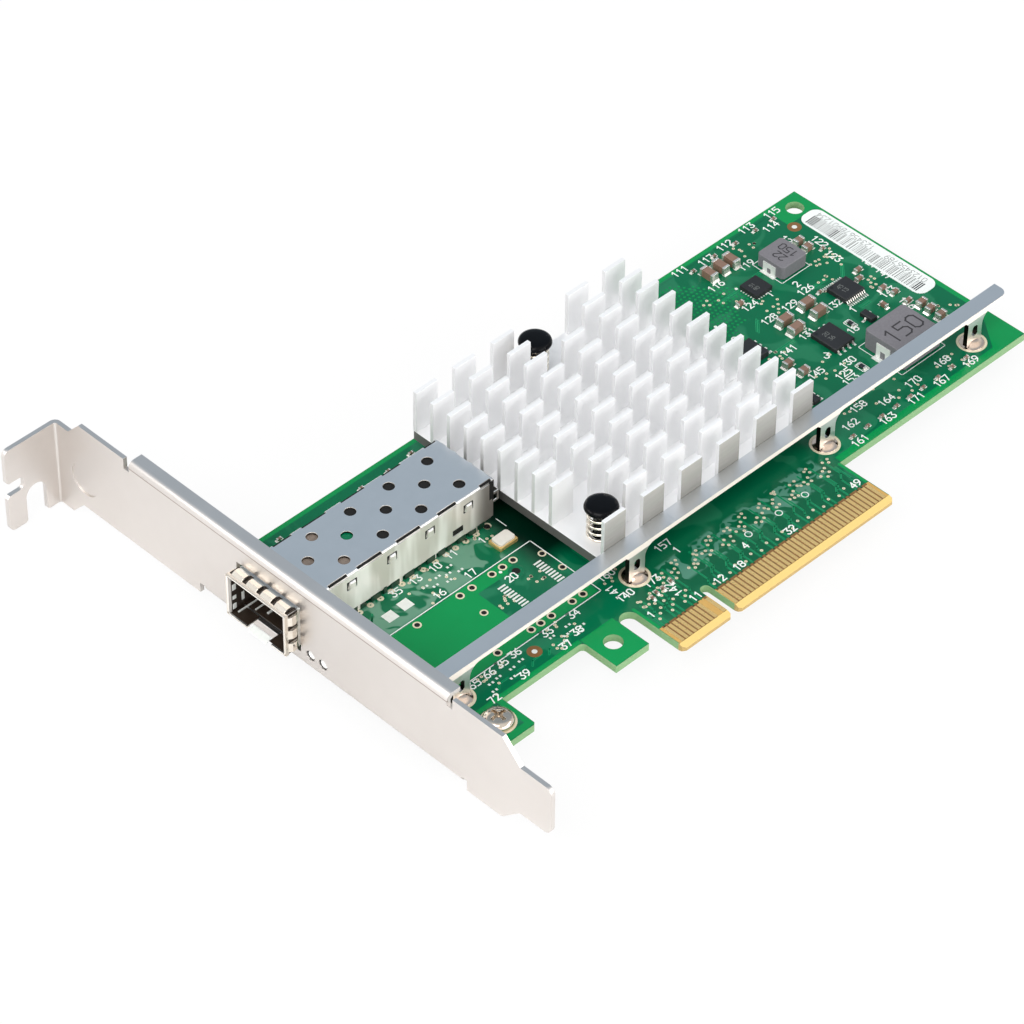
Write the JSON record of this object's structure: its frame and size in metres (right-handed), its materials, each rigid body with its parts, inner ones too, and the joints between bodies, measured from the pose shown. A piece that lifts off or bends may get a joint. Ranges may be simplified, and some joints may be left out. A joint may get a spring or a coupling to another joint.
{
  "type": "network interface card",
  "caption": "Expansion card with a pluggable optics cage, pin-fin heat sink, stiffener rail, edge connector and full-height slot bracket.",
  "frame": {"origin": "middle of the key notch on the finger edge, half way through the board thickness", "axes": "+X from the bracket to the far end of the board, +Y from the finger edge to the opposite edge, +Z out of the component side"},
  "size_m": [0.159, 0.1211, 0.0216],
  "materials": {
    "black_connector_polymer": "matte",
    "black_nylon": "gloss",
    "capacitor_ceramic": "matte",
    "fr4_board": "satin solder mask over glass-epoxy",
    "gold_plating": "polished",
    "label_paper": "satin",
    "led_lens": "clear gloss",
    "led_polymer": "matte",
    "moulding_compound": "matte",
    "nickel_plated_steel": "satin nickel",
    "package_ceramic": "matte",
    "plated_aluminium": "matte",
    "plated_screw_steel": "polished",
    "pressed_iron_powder": "matte",
    "rail_steel": "satin",
    "resistor_film": "matte",
    "spring_steel": "polished",
    "thermal_rubber": "matte",
    "tin_plating": "satin",
    "tinned_cage_steel": "satin tin",
    "white_ceramic": "satin"
  },
  "bodies": {
    "root": {"bracket": "nickel_plated_steel", "bracket_screws": "plated_screw_steel", "chip_resistor_bodies": "resistor_film", "chip_resistor_end_caps": "tin_plating", "controller_package": "package_ceramic", "crystal_base": "gold_plating", "crystal_lid": "white_ceramic", "edge_contacts": "gold_plating", "flash_chip_body": "moulding_compound", "flash_chip_leads": "tin_plating", "heat_sink": "plated_aluminium", "label": "label_paper", "large_capacitor_bodies": "capacitor_ceramic", "large_capacitor_end_caps": "tin_plating", "large_inductor_core": "pressed_iron_powder", "large_inductor_terminals": "tin_plating", "led_housings": "led_polymer", "led_lenses": "led_lens", "logic_chip_body": "moulding_compound", "logic_chip_leads": "tin_plating", "medium_capacitor_bodies": "capacitor_ceramic", "medium_capacitor_end_caps": "tin_plating", "power_stage_body": "moulding_compound", "power_stage_leads": "tin_plating", "printed_circuit_board": "fr4_board", "push_pin_front": "black_nylon", "push_pin_rear": "black_nylon", "push_pin_spring_front": "spring_steel", "push_pin_spring_rear": "spring_steel", "regulator": "moulding_compound", "sfp_cage_base": "tinned_cage_steel", "sfp_cage_cover": "tinned_cage_steel", "sfp_connector_contacts": "tin_plating", "sfp_connector_housing": "black_connector_polymer", "sfp_spring_fingers": "spring_steel", "small_capacitor_bodies": "capacitor_ceramic", "small_capacitor_end_caps": "tin_plating", "small_inductor_core": "pressed_iron_powder", "small_inductor_terminals": "tin_plating", "stiffener_rail": "rail_steel", "supervisor_chip_body": "moulding_compound", "supervisor_chip_leads": "tin_plating", "thermal_pad": "thermal_rubber", "tiny_capacitor_bodies": "capacitor_ceramic", "tiny_capacitor_end_caps": "tin_plating", "transistor_body": "moulding_compound", "transistor_leads": "tin_plating", "underside_capacitor_bodies": "capacitor_ceramic", "underside_capacitor_end_caps": "tin_plating"}
  },
  "joints": []
}
